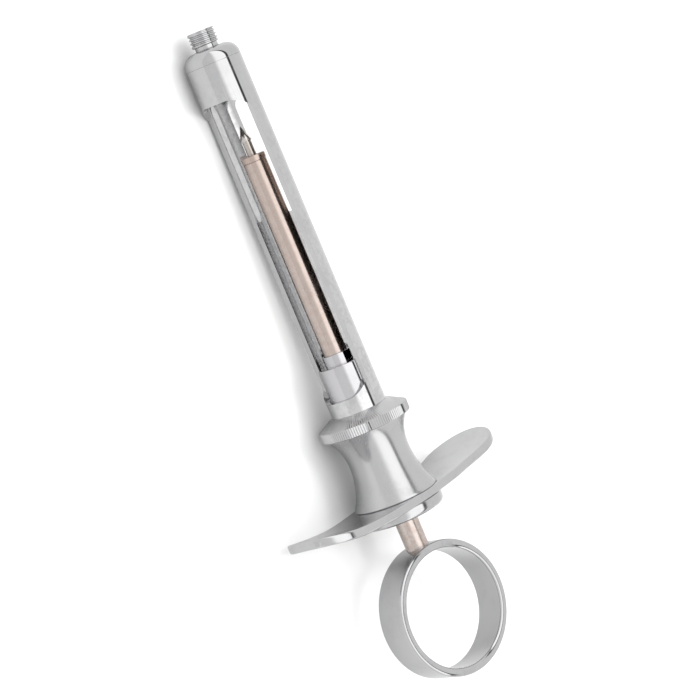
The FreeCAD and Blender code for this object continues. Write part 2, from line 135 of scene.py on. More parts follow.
def arc(centre: float, radius: float, first: float, last: float, count: int) -> list[Vector]:
    """Points along an arc whose centre is on the outline's base line.

    Args:
        centre: the centre's place along the base line.
        radius: the arc's radius.
        first: the angle that it starts at.
        last: the angle that it ends at.
        count: how many steps it is divided into.

    Returns:
        Its points, both ends with them.
    """
    angles = (first + (last - first) * step / count for step in range(count + 1))
    return [Vector((centre + radius * math.cos(angle), radius * math.sin(angle))) for angle in angles]


def rounded(corners: Iterable[Corner]) -> list[Vector]:
    """The points of a closed outline with its corners rounded."""
    corners = list(corners)
    spots = [Vector((corner.along, corner.out)) for corner in corners]
    points = []
    for index, corner in enumerate(corners):
        after = spots[(index + 1) % len(spots)]
        points += eased_corner(spots[index - 1], spots[index], after, corner.ease)
    return points


def turned(outline: list[Vector], steps: int, closed: bool = True) -> bmesh.types.BMesh:
    """Spins an outline about the syringe's axis.

    Args:
        outline: points (along the axis, out from it).
        steps: facets in the full turn.
        closed: whether the last point joins the first one; an open outline starts and ends on the axis.

    Returns:
        The closed mesh.
    """
    bm = bmesh.new()
    spots = [bm.verts.new((point.x, 0, point.y)) for point in outline]
    pairs = list(zip(spots, spots[1:]))
    if closed:
        pairs.append((spots[-1], spots[0]))
    for pair in pairs:
        bm.edges.new(pair)
    bmesh.ops.spin(bm, geom=bm.verts[:] + bm.edges[:], cent=(0, 0, 0), axis=AXIS, dvec=(0, 0, 0),
                   angle=math.tau, steps=steps, use_merge=True, use_duplicate=False)
    bmesh.ops.remove_doubles(bm, verts=bm.verts, dist=1e-5)
    bmesh.ops.recalc_face_normals(bm, faces=bm.faces)
    return bm


def carve(blank: bmesh.types.BMesh, cutters: Iterable[bmesh.types.BMesh]) -> bmesh.types.BMesh:
    """Cuts solids out of a solid.

    Args:
        blank: the mesh to cut; it is used up.
        cutters: the meshes to take away; they are used up.

    Returns:
        The cut mesh.
    """
    body = loose_object("blank", blank)
    tools = [loose_object(f"cutter_{index}", cutter) for index, cutter in enumerate(cutters)]
    for tool in tools:
        cut = body.modifiers.new(tool.name, "BOOLEAN")
        cut.operation = "DIFFERENCE"
        cut.solver = "EXACT"
        cut.object = tool
    bpy.context.view_layer.update()
    result = body.evaluated_get(bpy.context.evaluated_depsgraph_get())
    bm = bmesh.new()
    bm.from_mesh(result.to_mesh())
    result.to_mesh_clear()
    for thing in (body, *tools):
        bpy.data.objects.remove(thing)
    bmesh.ops.remove_doubles(bm, verts=bm.verts, dist=1e-4)
    bmesh.ops.dissolve_degenerate(bm, edges=bm.edges, dist=1e-4)
    return bm


def placed(name: str, data: bpy.types.ID) -> bpy.types.Object:
    """A new object in the scene that shows some data."""
    made = bpy.data.objects.new(name, data)
    bpy.context.scene.collection.objects.link(made)
    return made


def loose_object(name: str, bm: bmesh.types.BMesh) -> bpy.types.Object:
    """A new object of a mesh, with the bmesh freed."""
    mesh = bpy.data.meshes.new(name)
    bm.to_mesh(mesh)
    bm.free()
    return placed(name, mesh)


def block(low: Vector, high: Vector) -> bmesh.types.BMesh:
    """A box between two corners."""
    bm = bmesh.new()
    bmesh.ops.create_cube(bm, size=1)
    bmesh.ops.scale(bm, vec=high - low, verts=bm.verts)
    bmesh.ops.translate(bm, vec=(low + high) / 2, verts=bm.verts)
    return bm


def round_ended_block(low: Vector, high: Vector, corner: float) -> bmesh.types.BMesh:
    """A box whose four edges along Y are rounded."""
    bm = block(low, high)
    upright = [edge for edge in bm.edges if abs(edge.verts[0].co.y - edge.verts[1].co.y) > 1e-6]
    bmesh.ops.bevel(bm, geom=upright, offset=corner, segments=20, profile=0.5, affect="EDGES", material=-1)
    return bm


def reshape(bm: bmesh.types.BMesh, move: Callable[[Vector], Vector]) -> None:
    """Moves every vertex of a mesh by a rule.

    Args:
        bm: the mesh.
        move: gives a vertex's new place from its old one.
    """
    for vert in bm.verts:
        vert.co = move(vert.co)


def about_axis(place: Vector) -> tuple[float, float]:
    """How far a point is from the syringe's axis, and its angle about it."""
    return math.hypot(place.y, place.z), math.atan2(place.z, place.y)


def with_radius(place: Vector, radius: float, angle: float) -> Vector:
    """A point at the same place along the axis, with a new distance from it."""
    return Vector((place.x, radius * math.cos(angle), radius * math.sin(angle)))


def smooth_step(value: float) -> float:
    """Eases from 0 to 1 as the value goes from 0 to 1."""
    value = min(1.0, max(0.0, value))
    return value * value * (3 - 2 * value)


def add_piece(name: str, bm: bmesh.types.BMesh, node: str, finish: "Metal",
              sharp: float = 32.0) -> bpy.types.Object:
    """Finishes a mesh as a piece that stands for a node of the frame.

    Args:
        name: the piece's name.
        bm: its mesh in millimetres; it is used up.
        node: the CAD node that it replaces, whose body it rides on.
        finish: what it is made of.
        sharp: edges that turn more than this many degrees stay crisp.

    Returns:
        The object.
    """
    bmesh.ops.scale(bm, vec=(MM, MM, MM), verts=bm.verts)
    for face in bm.faces:
        face.smooth = True
    for edge in bm.edges:
        edge.smooth = len(edge.link_faces) == 2 and edge.calc_face_angle() < math.radians(sharp)
    triangles = sum(len(face.verts) - 2 for face in bm.faces)
    piece = loose_object(name, bm)
    weighted = piece.modifiers.new("even_normals", "WEIGHTED_NORMAL")
    weighted.keep_sharp = True
    weighted.weight = 100
    piece.data.materials.append(finish.material())
    body = next(key for key, members in frame["record"]["behaviour"]["bodies"].items() if node in members)
    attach(piece, body)
    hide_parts(node)
    log.info("%s: %d triangles, on %s", name, triangles, body)
    return piece


# ---------------------------------------------------------------------------------------------
# finishes


class Lay(Enum):
    """Which way the maker's tool marks run on a piece."""

    TURNED = "rings about the syringe's axis"
    DRAWN = "lines along the syringe's axis"
    LINISHED = "lines across the wings"
    BAND = "rings about the thumb ring's own axis"


def new_group(name: str, inputs: Iterable[str], outputs: Iterable[str]) -> bpy.types.NodeTree:
    """A shader node group with named sockets.

    Args:
        name: the group's name.
        inputs: the sockets that come in; one called Vector is a vector, the others are numbers.
        outputs: the numbers that go out.

    Returns:
        The group, with an input and an output node in it.
    """
    group = bpy.data.node_groups.new(name, "ShaderNodeTree")
    for way, names in (("INPUT", inputs), ("OUTPUT", outputs)):
        for socket in names:
            kind = "NodeSocketVector" if socket == "Vector" else "NodeSocketFloat"
            group.interface.new_socket(socket, in_out=way, socket_type=kind)
    group.nodes.new("NodeGroupInput").name = "in"
    group.nodes.new("NodeGroupOutput").name = "out"
    return group


@dataclass
class Wiring:
    """Adds and joins nodes in one node tree."""

    tree: bpy.types.NodeTree

    def add(self, kind: str, settings: dict[str, object] | None = None,
            **sockets: object) -> bpy.types.Node:
        """Adds a node, sets its properties and fills its sockets.

        Args:
            kind: the node's type.
            settings: its properties.
            **sockets: input names (with _ for a space, or input_N by number) to values or output sockets.

        Returns:
            The node.
        """
        node = self.tree.nodes.new(kind)
        for key, value in (settings or {}).items():
            setattr(node, key, value)
        for key, value in sockets.items():
            if key.startswith("input_"):
                target = node.inputs[int(key.removeprefix("input_"))]
            else:
                target = node.inputs[key.replace("_", " ")]
            if isinstance(value, bpy.types.NodeSocket):
                self.tree.links.new(value, target)
            else:
                target.default_value = value
        return node

    def math(self, operation: str, first: object, second: object = 0.0) -> bpy.types.NodeSocket:
        """The result of a Math node."""
        made = self.add("ShaderNodeMath", {"operation": operation}, input_0=first, input_1=second)
        return made.outputs[0]

    def span(self, value: object, low: float, high: float, to_low: float = 0.0,
             to_high: float = 1.0) -> bpy.types.NodeSocket:
        """A value mapped smoothly from one range to another, and held at its ends."""
        made = self.add("ShaderNodeMapRange", {"interpolation_type": "SMOOTHSTEP"}, Value=value,
                        From_Min=low, From_Max=high, To_Min=to_low, To_Max=to_high)
        return made.outputs["Result"]

    def blend(self, factor: object, first: object, second: object) -> bpy.types.NodeSocket:
        """Two colours mixed; a plain colour gets its alpha here."""
        first, second = (value if isinstance(value, bpy.types.NodeSocket) else (*value, 1)
                         for value in (first, second))
        made = self.add("ShaderNodeMix", {"data_type": "RGBA"}, input_0=factor, input_6=first, input_7=second)
        return made.outputs[2]

    def noise(self, vector: object, scale: float, detail: float = 3.0) -> bpy.types.NodeSocket:
        """The value of a Noise Texture."""
        made = self.add("ShaderNodeTexNoise", Vector=vector, Scale=scale, Detail=detail)
        return made.outputs["Fac"]

    def join(self, source: bpy.types.NodeSocket, target: bpy.types.NodeSocket) -> None:
        """Links two sockets."""
        self.tree.links.new(source, target)


def tool_marks_group() -> bpy.types.NodeTree:
    """Fine lines left by turning or polishing: rings by the distance along and out from an axis.

    Returns:
        The group: Vector and Lines in, Height out.
    """
    group = new_group("tool_marks", ("Vector", "Lines"), ("Height",))
    wire = Wiring(group)
    source = group.nodes["in"].outputs
    apart = wire.add("ShaderNodeSeparateXYZ", Vector=source["Vector"])
    squares = wire.math("ADD", wire.math("MULTIPLY", apart.outputs["Y"], apart.outputs["Y"]),
                        wire.math("MULTIPLY", apart.outputs["Z"], apart.outputs["Z"]))
    out = wire.math("SQRT", squares)
    rings = wire.add("ShaderNodeCombineXYZ", X=wire.math("MULTIPLY", apart.outputs["X"], source["Lines"]),
                     Y=wire.math("MULTIPLY", out, source["Lines"]), Z=0.0)
    wire.join(wire.noise(rings.outputs["Vector"], 1.0, 2.0), group.nodes["out"].inputs["Height"])
    return group


def polish_lines_group() -> bpy.types.NodeTree:
    """Straight fine lines along the vector's X.

    Returns:
        The group: Vector and Lines in, Height out.
    """
    group = new_group("polish_lines", ("Vector", "Lines"), ("Height",))
    wire = Wiring(group)
    source = group.nodes["in"].outputs
    apart = wire.add("ShaderNodeSeparateXYZ", Vector=source["Vector"])
    drawn = wire.add("ShaderNodeCombineXYZ", X=wire.math("MULTIPLY", apart.outputs["X"], 0.03),
                     Y=apart.outputs["Y"], Z=apart.outputs["Z"])
    scaled = wire.add("ShaderNodeVectorMath", {"operation": "SCALE"}, input_0=drawn.outputs["Vector"],
                      Scale=source["Lines"])
    wire.join(wire.noise(scaled.outputs["Vector"], 1.0, 2.0), group.nodes["out"].inputs["Height"])
    return group


def handling_group() -> bpy.types.NodeTree:
    """Signs of use: cloudy finger smudges and a few hairline scratches.

    Returns:
        The group: Vector in, Smudge and Scratch out.
    """
    group = new_group("handling", ("Vector",), ("Smudge", "Scratch"))
    wire = Wiring(group)
    vector = group.nodes["in"].outputs["Vector"]
    cloud = wire.noise(vector, 0.16, 4.0)
    breakup = wire.noise(vector, 1.1, 3.0)
    smudge = wire.math("MULTIPLY", wire.span(cloud, 0.42, 0.68), wire.span(breakup, 0.3, 0.62, 0.4, 1.0))
    wire.join(smudge, group.nodes["out"].inputs["Smudge"])
    hairlines = []
    for turn, scale in ((0.5, 0.55), (2.1, 0.8)):
        turned_way = wire.add("ShaderNodeMapping", Vector=vector, Rotation=(turn, turn / 2, turn * 2),
                              Scale=(scale * 0.12, scale * 2.4, scale * 2.4))
        cells = wire.add("ShaderNodeTexVoronoi", {"feature": "DISTANCE_TO_EDGE"},
                         Vector=turned_way.outputs["Vector"], Scale=1.0)
        hairlines.append(wire.span(cells.outputs["Distance"], 0.0, 0.022, 1.0, 0.0))
    broken = wire.math("MULTIPLY", wire.math("MAXIMUM", *hairlines), wire.span(breakup, 0.48, 0.62))
    wire.join(broken, group.nodes["out"].inputs["Scratch"])
    return group


def painted_edge_highlight_group() -> bpy.types.NodeTree:
    """Sharp outer edges, found by pointiness, for a painted highlight, broken up by noise.

    Returns:
        The group: Vector in, PaintedHighlight out.
    """
    group = new_group("painted_edge_highlight", ("Vector",), ("PaintedHighlight",))
    wire = Wiring(group)
    vector = group.nodes["in"].outputs["Vector"]
    shape = wire.add("ShaderNodeNewGeometry")
    # Sharp outer edges get a painted highlight, broken up by noise.
    raised = wire.span(shape.outputs["Pointiness"], 0.52, 0.6)
    edge_highlight = wire.math("MULTIPLY", raised, wire.span(wire.noise(vector, 0.9), 0.35, 0.6, 0.35, 1.0))
    wire.join(edge_highlight, group.nodes["out"].inputs["PaintedHighlight"])
    return group


GROUP_MAKERS = {
    "tool_marks": tool_marks_group,
    "polish_lines": polish_lines_group,
    "handling": handling_group,
    "painted_edge_highlight": painted_edge_highlight_group,
}


def group_node(wire: Wiring, name: str, **sockets: object) -> bpy.types.Node:
    """Places one of the shared groups in a material, built on its first use."""
    tree = bpy.data.node_groups.get(name) or GROUP_MAKERS[name]()
    return wire.add("ShaderNodeGroup", {"node_tree": tree}, **sockets)


def empty_material(name: str) -> tuple[bpy.types.Material, Wiring]:
    """A new material with an empty node tree, and the wiring for it."""
    made = bpy.data.materials.new(name)
    made.use_nodes = True
    made.node_tree.nodes.clear()
    return made, Wiring(made.node_tree)


def metric_place(wire: Wiring) -> bpy.types.NodeSocket:
    """The place on the piece, in millimetres."""
    place = wire.add("ShaderNodeTexCoord")
    return wire.add("ShaderNodeMapping", Vector=place.outputs["Object"],
                    Scale=(1 / MM, 1 / MM, 1 / MM)).outputs["Vector"]


def show_shader(wire: Wiring, **sockets: object) -> None:
    """Ends a material with a Principled shader that has these sockets filled."""
    shader = wire.add("ShaderNodeBsdfPrincipled", **sockets)
    out = wire.add("ShaderNodeOutputMaterial")
    wire.join(shader.outputs["BSDF"], out.inputs["Surface"])


# How strongly the signs of use, and the painted highlight on sharp edges, show on every metal.
SMUDGE_TINT = 0.5
# The painted highlight on sharp edges: how strongly it lightens, and the pale colour it lightens to.
EDGE_HIGHLIGHT_TINT = 0.35
EDGE_HIGHLIGHT_COLOUR = (0.9, 0.9, 0.9)
SCRATCH_ROUGHNESS = 0.06
SCRATCH_DEPTH = 0.7


@dataclass(frozen=True)
class Metal:
    """A polished metal finish.

    Roughness goes from clean to smudged; the marks' depth is in millimetres.
    """

    name: str
    colour: tuple[float, float, float]
    dull_colour: tuple[float, float, float]
    roughness: float
    smudged_roughness: float
    lay: Lay
    lines: float
    mark_depth: float
    centre: tuple[float, float, float] = (0.0, 0.0, 0.0)
    turn: float = 0.0

    def material(self) -> bpy.types.Material:
        """The finish's material, built on its first use."""
        known = bpy.data.materials.get(self.name)
        if known:
            return known
        made, wire = empty_material(self.name)
        vector = metric_place(wire)
        handling = group_node(wire, "handling", Vector=vector)
        edge_highlight = group_node(wire, "painted_edge_highlight", Vector=vector)
        marks = self.marks(wire, vector)
        smudge = handling.outputs["Smudge"]
        dull = wire.blend(wire.math("MULTIPLY", smudge, SMUDGE_TINT), self.colour, self.dull_colour)
        # Sharp edges are painted lighter here: a painted highlight.
        smudged_and_highlit = wire.blend(wire.math("MULTIPLY", edge_highlight.outputs["PaintedHighlight"], EDGE_HIGHLIGHT_TINT), dull, EDGE_HIGHLIGHT_COLOUR)
        rough = wire.span(smudge, 0.0, 1.0, self.roughness, self.smudged_roughness)
        scratch = handling.outputs["Scratch"]
        rough = wire.math("ADD", rough, wire.math("MULTIPLY", scratch, SCRATCH_ROUGHNESS))
        height = wire.math("SUBTRACT", marks, wire.math("MULTIPLY", scratch, SCRATCH_DEPTH))
        bump = wire.add("ShaderNodeBump", Height=height, Strength=0.5, Distance=self.mark_depth * MM)
        show_shader(wire, Base_Color=smudged_and_highlit, Metallic=1.0, Roughness=rough, Normal=bump.outputs["Normal"])
        return made

    def marks(self, wire: Wiring, vector: bpy.types.NodeSocket) -> bpy.types.NodeSocket:
        """The height of the tool marks.

        Args:
            wire: the material's tree.
            vector: the place on the piece, in millimetres.

        Returns:
            The height, from 0 to 1.
        """
        if self.lay is Lay.TURNED:
            return group_node(wire, "tool_marks", Vector=vector, Lines=self.lines).outputs["Height"]
        if self.lay is Lay.BAND:
            moved = wire.add("ShaderNodeVectorMath", {"operation": "SUBTRACT"}, input_0=vector,
                             input_1=self.centre)
            laid = wire.add("ShaderNodeMapping", Vector=moved.outputs["Vector"],
                            Rotation=(-self.turn, math.pi / 2, 0))
            return group_node(wire, "tool_marks", Vector=laid.outputs["Vector"],
                              Lines=self.lines).outputs["Height"]
        if self.lay is Lay.LINISHED:
            laid = wire.add("ShaderNodeMapping", Vector=vector, Rotation=(0, 0, math.pi / 2))
            vector = laid.outputs["Vector"]
        return group_node(wire, "polish_lines", Vector=vector, Lines=self.lines).outputs["Height"]


CHROME = (0.575, 0.575, 0.58)
CHROME_DULL = (0.50, 0.50, 0.51)


def chrome(name: str, *finish: object, **more: object) -> Metal:
    """A chrome finish: its two roughnesses, its lay, how close its lines are and how deep."""
    return Metal(name, CHROME, CHROME_DULL, *finish, **more)


@dataclass(frozen=True)
class Rubber:
    """A soft black rubber finish."""

    name: str = "black_rubber"
    colour: tuple[float, float, float] = (0.02, 0.02, 0.022)
    worn_colour: tuple[float, float, float] = (0.06, 0.06, 0.06)
    roughness: float = 0.55
    grain: float = 14.0
    grain_depth: float = 0.02

    def material(self) -> bpy.types.Material:
        """The finish's material."""
        made, wire = empty_material(self.name)
        vector = metric_place(wire)
        handling = group_node(wire, "handling", Vector=vector)
        shade = wire.blend(handling.outputs["Smudge"], self.colour, self.worn_colour)
        bump = wire.add("ShaderNodeBump", Height=wire.noise(vector, self.grain), Strength=0.4,
                        Distance=self.grain_depth * MM)
        show_shader(wire, Base_Color=shade, Roughness=self.roughness, Normal=bump.outputs["Normal"])
        return made


# ---------------------------------------------------------------------------------------------
# sub-assemblies


@dataclass
class NeedleAdaptor:
    """The threaded stub that the needle screws on."""

    neck_length: float = 0.8
    neck_radius: float = 2.45
    passage_radius: float = 0.6
    funnel_radius: float = 1.4
    funnel_depth: float = 1.0
    thread_pitch: float = 0.75
    thread_depth: float = 0.36
    thread_fade: float = 0.55
    edge: float = 0.22
    steps: int = 144
    rings_per_pitch: int = 14
    place: Span = field(default_factory=lambda: Span.of("needle_adaptor"))
    finish: Metal = chrome("polished_thread", 0.10, 0.2, Lay.TURNED, 9.0, 0.004)

    def build(self) -> None:
        """Turns the stub, then cuts the thread into it."""
        tip, inner, crest = self.place.start, self.place.end, self.place.radius
        half_funnel = self.funnel_depth / 2
        corners = [
            Corner(tip, self.funnel_radius, 0.1),
            Corner(tip, crest, self.edge),
            Corner(-self.neck_length, crest, self.edge),
            Corner(-self.neck_length, self.neck_radius, 0.1),
            Corner(inner, self.neck_radius),
            Corner(inner, self.passage_radius + half_funnel),
            Corner(inner - half_funnel, self.passage_radius),
            Corner(tip + self.funnel_depth, self.passage_radius, 0.1),
        ]
        bm = turned(self.divided(rounded(corners)), self.steps)
        reshape(bm, self.threaded)
        add_piece("needle_thread", bm, "needle_adaptor", self.finish, sharp=50.0)

    def divided(self, outline: list[Vector]) -> list[Vector]:
        """The outline with enough points along its crest to carry the thread."""
        points = []
        spacing = self.thread_pitch / self.rings_per_pitch
        for index, point in enumerate(outline):
            points.append(point)
            after = outline[(index + 1) % len(outline)]
            if min(point.y, after.y) > self.place.radius - 1e-3 and after.x - point.x > spacing:
                count = round((after.x - point.x) / spacing)
                points += [point.lerp(after, step / count) for step in range(1, count)]
        return points

    def threaded(self, place: Vector) -> Vector:
        """Where a vertex goes when the rounded helical groove is cut."""
        radius, angle = about_axis(place)
        if radius < self.neck_radius or place.x > -self.neck_length + 1e-3:
            return place
        phase = place.x / self.thread_pitch + angle / math.tau
        groove = 0.5 - 0.5 * math.cos(math.tau * phase)
        tip_fade = smooth_step((place.x - self.place.start) / self.thread_fade)
        root_fade = smooth_step((-self.neck_length - place.x) / self.thread_fade)
        depth = self.thread_depth * groove * tip_fade * root_fade
        return with_radius(place, radius - depth, angle)


@dataclass
class Barrel:
    """The nose cap, the windowed tube and the knurled collar, soldered together."""

    wall: float = 1.04
    nose_shoulder: float = 2.8
    nose_end_wall: float = 1.9
    nose_pocket_radius: float = 3.95
    nose_bore: float = 2.48
    seam_edge: float = 0.06
    window_start: float = 11.2
    window_length: float = 66.0
    window_height: float = 1.3
    window_corner: float = 3.5
    window_overrun: float = 0.1
    window_turn: float = -5.2
    slot_length: float = 26.2
    slot_width: float = 6.0
    slot_corner: float = 2.4
    collar_cone: float = 1.95
    collar_step: float = 0.35
    collar_edge: float = 0.2
    ridges: int = 116
    steps_per_ridge: int = 6
    ridge_depth: float = 0.14
    steps: int = 192
    nose: Span = field(default_factory=lambda: Span.of("barrel_nose"))
    tube: Span = field(default_factory=lambda: Span.of("barrel_tube"))
    collar: Span = field(default_factory=lambda: Span.of("barrel_collar"))
    polish: Metal = chrome("polished_barrel", 0.045, 0.11, Lay.DRAWN, 6.0, 0.0012)
    collar_finish: Metal = chrome("polished_collar", 0.09, 0.18, Lay.TURNED, 9.0, 0.003)

    def build(self) -> None:
        """Builds the three pieces from the needle end to the rear."""
        self.build_nose()
        self.build_tube()
        self.build_collar()

    def build_nose(self) -> None:
        """The cap with the round shoulder."""
        bore = self.tube.radius - self.wall
        corners = [
            Corner(self.nose.start, self.nose_bore, 0.1),
            Corner(self.nose.start, self.tube.radius, self.nose_shoulder),
            Corner(self.tube.start, self.tube.radius, self.seam_edge),
            Corner(self.tube.start, bore),
            Corner(self.nose.end, bore, 0.1),
            Corner(self.nose.end, self.nose_pocket_radius, 0.1),
            Corner(self.nose_end_wall, self.nose_pocket_radius),
            Corner(self.nose_end_wall, self.nose_bore),
        ]
        bm = turned(rounded(corners), self.steps)
        add_piece("nose_cap", bm, "barrel_nose", self.polish)

    def build_tube(self) -> None:
        """The tube, with the wide window in front and the narrow slot behind."""
        outer, bore = self.tube.radius, self.tube.radius - self.wall
        corners = [
            Corner(self.tube.start, bore),
            Corner(self.tube.start, outer, self.seam_edge),
            Corner(self.tube.end, outer),
            Corner(self.tube.end, bore),
        ]
        window_half = math.sqrt(outer ** 2 - self.window_height ** 2) + self.window_overrun
        window_end = self.window_start + self.window_length
        window = round_ended_block(
            Vector((self.window_start, -2 * outer, -window_half)),
            Vector((window_end, -self.window_height, window_half)), self.window_corner)
        slot = round_ended_block(
            Vector((self.window_start, 0, -self.slot_width / 2)),
            Vector((self.window_start + self.slot_length, 2 * outer, self.slot_width / 2)), self.slot_corner)
        bm = carve(turned(rounded(corners), self.steps), (window, slot))
        turn = Matrix.Rotation(math.radians(self.window_turn), 3, "X")
        bmesh.ops.rotate(bm, cent=(0, 0, 0), matrix=turn, verts=bm.verts)
        tube = add_piece("windowed_tube", bm, "barrel_tube", self.polish)
        tube.modifiers.clear()
        set_true_normals(tube)

    def build_collar(self) -> None:
        """The disc with a shallow cone to the front and a straight knurl round its rim."""
        front, rear, outer = self.collar.start, self.collar.end, self.collar.radius
        corners = [
            Corner(front, self.tube.radius),
            Corner(front, self.tube.radius + self.collar_step, 0.1),
            Corner(front + self.collar_cone, outer, self.collar_edge),
            Corner(rear, outer, self.collar_edge),
            Corner(rear, self.tube.radius),
        ]
        bm = turned(rounded(corners), self.ridges * self.steps_per_ridge)
        reshape(bm, self.knurled)
        add_piece("knurled_collar", bm, "barrel_collar", self.collar_finish, sharp=28.0)

    def knurled(self, place: Vector) -> Vector:
        """Where a vertex goes when the straight knurl is rolled in."""
        radius, angle = about_axis(place)
        rim = smooth_step((radius - self.collar.radius + 2 * self.ridge_depth) / self.ridge_depth)
        wave = abs((angle / math.tau * self.ridges) % 1 * 2 - 1)
        return with_radius(place, radius - self.ridge_depth * wave * rim, angle)


def set_true_normals(piece: bpy.types.Object) -> None:
    """Gives the faces that lie round the axis exact round normals, and the cut faces flat ones."""
    mesh = piece.data
    normals = [Vector() for _ in mesh.loops]
    for face in mesh.polygons:
        for loop in face.loop_indices:
            place = mesh.vertices[mesh.loops[loop].vertex_index].co
            radial = Vector((0, place.y, place.z)).normalized()
            facing = radial.dot(face.normal)
            round_face = abs(facing) > 0.999 and abs(face.normal.x) < 0.01
            normals[loop] = radial * math.copysign(1, facing) if round_face else face.normal
    mesh.normals_split_custom_set(normals)


@dataclass
class Handle:
    """The waisted hub, the winged plate, the boss that clamps them, and the guide bearing inside."""

    hub_waist_radius: float = 6.64
    hub_front_radius: float = 8.9
    hub_waist_from_front: float = 6.75
    hub_edge: float = 0.25
    shank_radius: float = 4.0
    shank_hole: float = 4.03
    plate_thickness: float = 1.9
    plate_flat_half: float = 9.6
    wing_bend_radius: float = 80.0
    wing_neck_reach: float = 16.2
    wing_neck_half: float = 7.8
    wing_end_radius: float = 8.6
    wing_neck_round: float = 5.0
    wing_edge: float = 0.45
    wing_slice: float = 1.0
    plate_arc_steps: int = 28
    hub_arc_steps: int = 24
    hole_steps: int = 96
    hole_margin: float = 1.0
    nut_edge: float = 1.0
    nut_end_wall: float = 0.8
    rod_hole: float = 2.8
    edge: float = 0.2
    bearing_nose_radius: float = 3.0
    bearing_nose_length: float = 2.35
    bearing_counterbore: float = 2.66
    bearing_counterbore_end: float = 75.7
    bearing_bore: float = 2.53
    seal_place: float = 79.75
    seal_half: float = 0.67
    seal_depth: float = 3.8
    relief_start: float = 84.0
    relief_end: float = 101.57
    steps: int = 192
    hub: Span = field(default_factory=lambda: Span.of("grip_hub"))
    nut: Span = field(default_factory=lambda: Span.of("flange_nut"))
    bearing: Span = field(default_factory=lambda: Span.of("guide_bearing"))
    wings: Span = field(default_factory=lambda: Span.of("finger_grip"))
    spool: Metal = chrome("polished_hub", 0.2, 0.28, Lay.TURNED, 7.0, 0.003)
    plate: Metal = chrome("polished_wings", 0.13, 0.22, Lay.LINISHED, 5.0, 0.003)
    boss: Metal = chrome("polished_boss", 0.09, 0.16, Lay.TURNED, 8.0, 0.003)
    bush: Metal = Metal("polished_bearing", (0.60, 0.59, 0.605), CHROME_DULL, 0.05, 0.11, Lay.TURNED, 9.0,
                        0.0015)

    def build(self) -> None:
        """Builds the four pieces."""
        self.build_hub()
        self.build_wings()
        self.build_boss()
        self.build_bearing()

    def build_hub(self) -> None:
        """The spool: two hollow arcs that meet level at the waist."""
        front, base = self.hub.start, self.hub.end
        waist = front + self.hub_waist_from_front
        outline = [Vector((front, self.shank_hole)), Vector((front, self.hub_front_radius - self.edge / 2)),
                   Vector((front + self.edge / 2, self.hub_front_radius))]
        outline += self.hollow(front + self.edge / 2, waist, self.hub_front_radius, waist)
        outline += self.hollow(waist, base - self.hub_edge, self.hub.radius, waist)
        outline += eased_corner(outline[-1], Vector((base, self.hub.radius)),
                                Vector((base, self.shank_hole)), self.hub_edge * 0.8)
        outline.append(Vector((base, self.shank_hole)))
        add_piece("waisted_hub", turned(outline, self.steps), "grip_hub", self.spool)

    def hollow(self, start: float, end: float, rim: float, waist: float) -> list[Vector]:
        """One hollow arc of the hub.

        Args:
            start: where it starts along the axis.
            end: where it ends.
            rim: the hub's radius at the end that is away from the waist.
            waist: the place of the waist.

        Returns:
            Its points, without the first one.
        """
        run = max(abs(start - waist), abs(end - waist))
        rise = rim - self.hub_waist_radius
        radius = (run ** 2 + rise ** 2) / (2 * rise)
        points = []
        for step in range(1, self.hub_arc_steps + 1):
            along = start + (end - start) * step / self.hub_arc_steps
            out = self.hub_waist_radius + radius - math.sqrt(radius ** 2 - (along - waist) ** 2)
            points.append(Vector((along, out)))
        return points

    def build_wings(self) -> None:
        """The plate: its front view grown to its thickness, its rim rounded, then both wings bent."""
        quarter = self.quarter_outline()
        bm = bmesh.new()
        spots = [bm.verts.new((self.hub.end, point.x, point.y)) for point in quarter]
        for pair in zip(spots, spots[1:]):
            bm.edges.new(pair)
        for axis in ("Y", "Z"):
            bmesh.ops.mirror(bm, geom=bm.verts[:] + bm.edges[:], axis=axis, merge_dist=1e-5)
        bmesh.ops.remove_doubles(bm, verts=bm.verts, dist=1e-4)
        face = bmesh.ops.contextual_create(bm, geom=bm.edges[:])["faces"]
        grown = bmesh.ops.extrude_face_region(bm, geom=face, use_keep_orig=True)["geom"]
        bmesh.ops.translate(bm, vec=(self.plate_thickness, 0, 0),
                            verts=[item for item in grown if isinstance(item, bmesh.types.BMVert)])
        bmesh.ops.recalc_face_normals(bm, faces=bm.faces)
        rim = [edge for edge in bm.edges
               if any(abs(side.normal.x) > 0.9 for side in edge.link_faces)]
        bmesh.ops.bevel(bm, geom=rim, offset=self.wing_edge, segments=5, profile=0.5, affect="EDGES",
                        material=-1)
        reach = self.wings.radius
        count = round(reach / self.wing_slice)
        for step in range(-count + 1, count):
            bmesh.ops.bisect_plane(bm, geom=bm.verts[:] + bm.edges[:] + bm.faces[:],
                                   plane_co=(0, reach * step / count, 0), plane_no=(0, 1, 0), dist=1e-4)
        near = self.hub.end - self.hole_margin
        far = self.nut.start + self.hole_margin
        hole = turned([Vector((near, 0)), Vector((near, self.shank_hole)),
                       Vector((far, self.shank_hole)), Vector((far, 0))], self.hole_steps, closed=False)
        bm = carve(bm, [hole])
        reshape(bm, self.bent)
        add_piece("finger_wings", bm, "finger_grip", self.plate, sharp=40.0)

    def quarter_outline(self) -> list[Vector]:
        """A quarter of the plate's front view, from over the hub to the wing's end."""
        middle, end = self.hub.radius, self.wing_end_radius
        neck = Vector((self.wing_neck_reach, self.wing_neck_half))
        end_centre = self.wings.radius - end
        leave = self.touch(Vector((0, 0)), middle, neck, 1)
        land = self.touch(Vector((end_centre, 0)), end, neck, -1)
        leave_angle = math.atan2(leave.y, leave.x)
        land_angle = math.atan2(land.y, land.x - end_centre)
        return [
            *arc(0, middle, math.pi / 2, leave_angle, self.plate_arc_steps),
            *eased_corner(leave, neck, land, self.wing_neck_round),
            *arc(end_centre, end, land_angle, 0, self.plate_arc_steps),
        ]

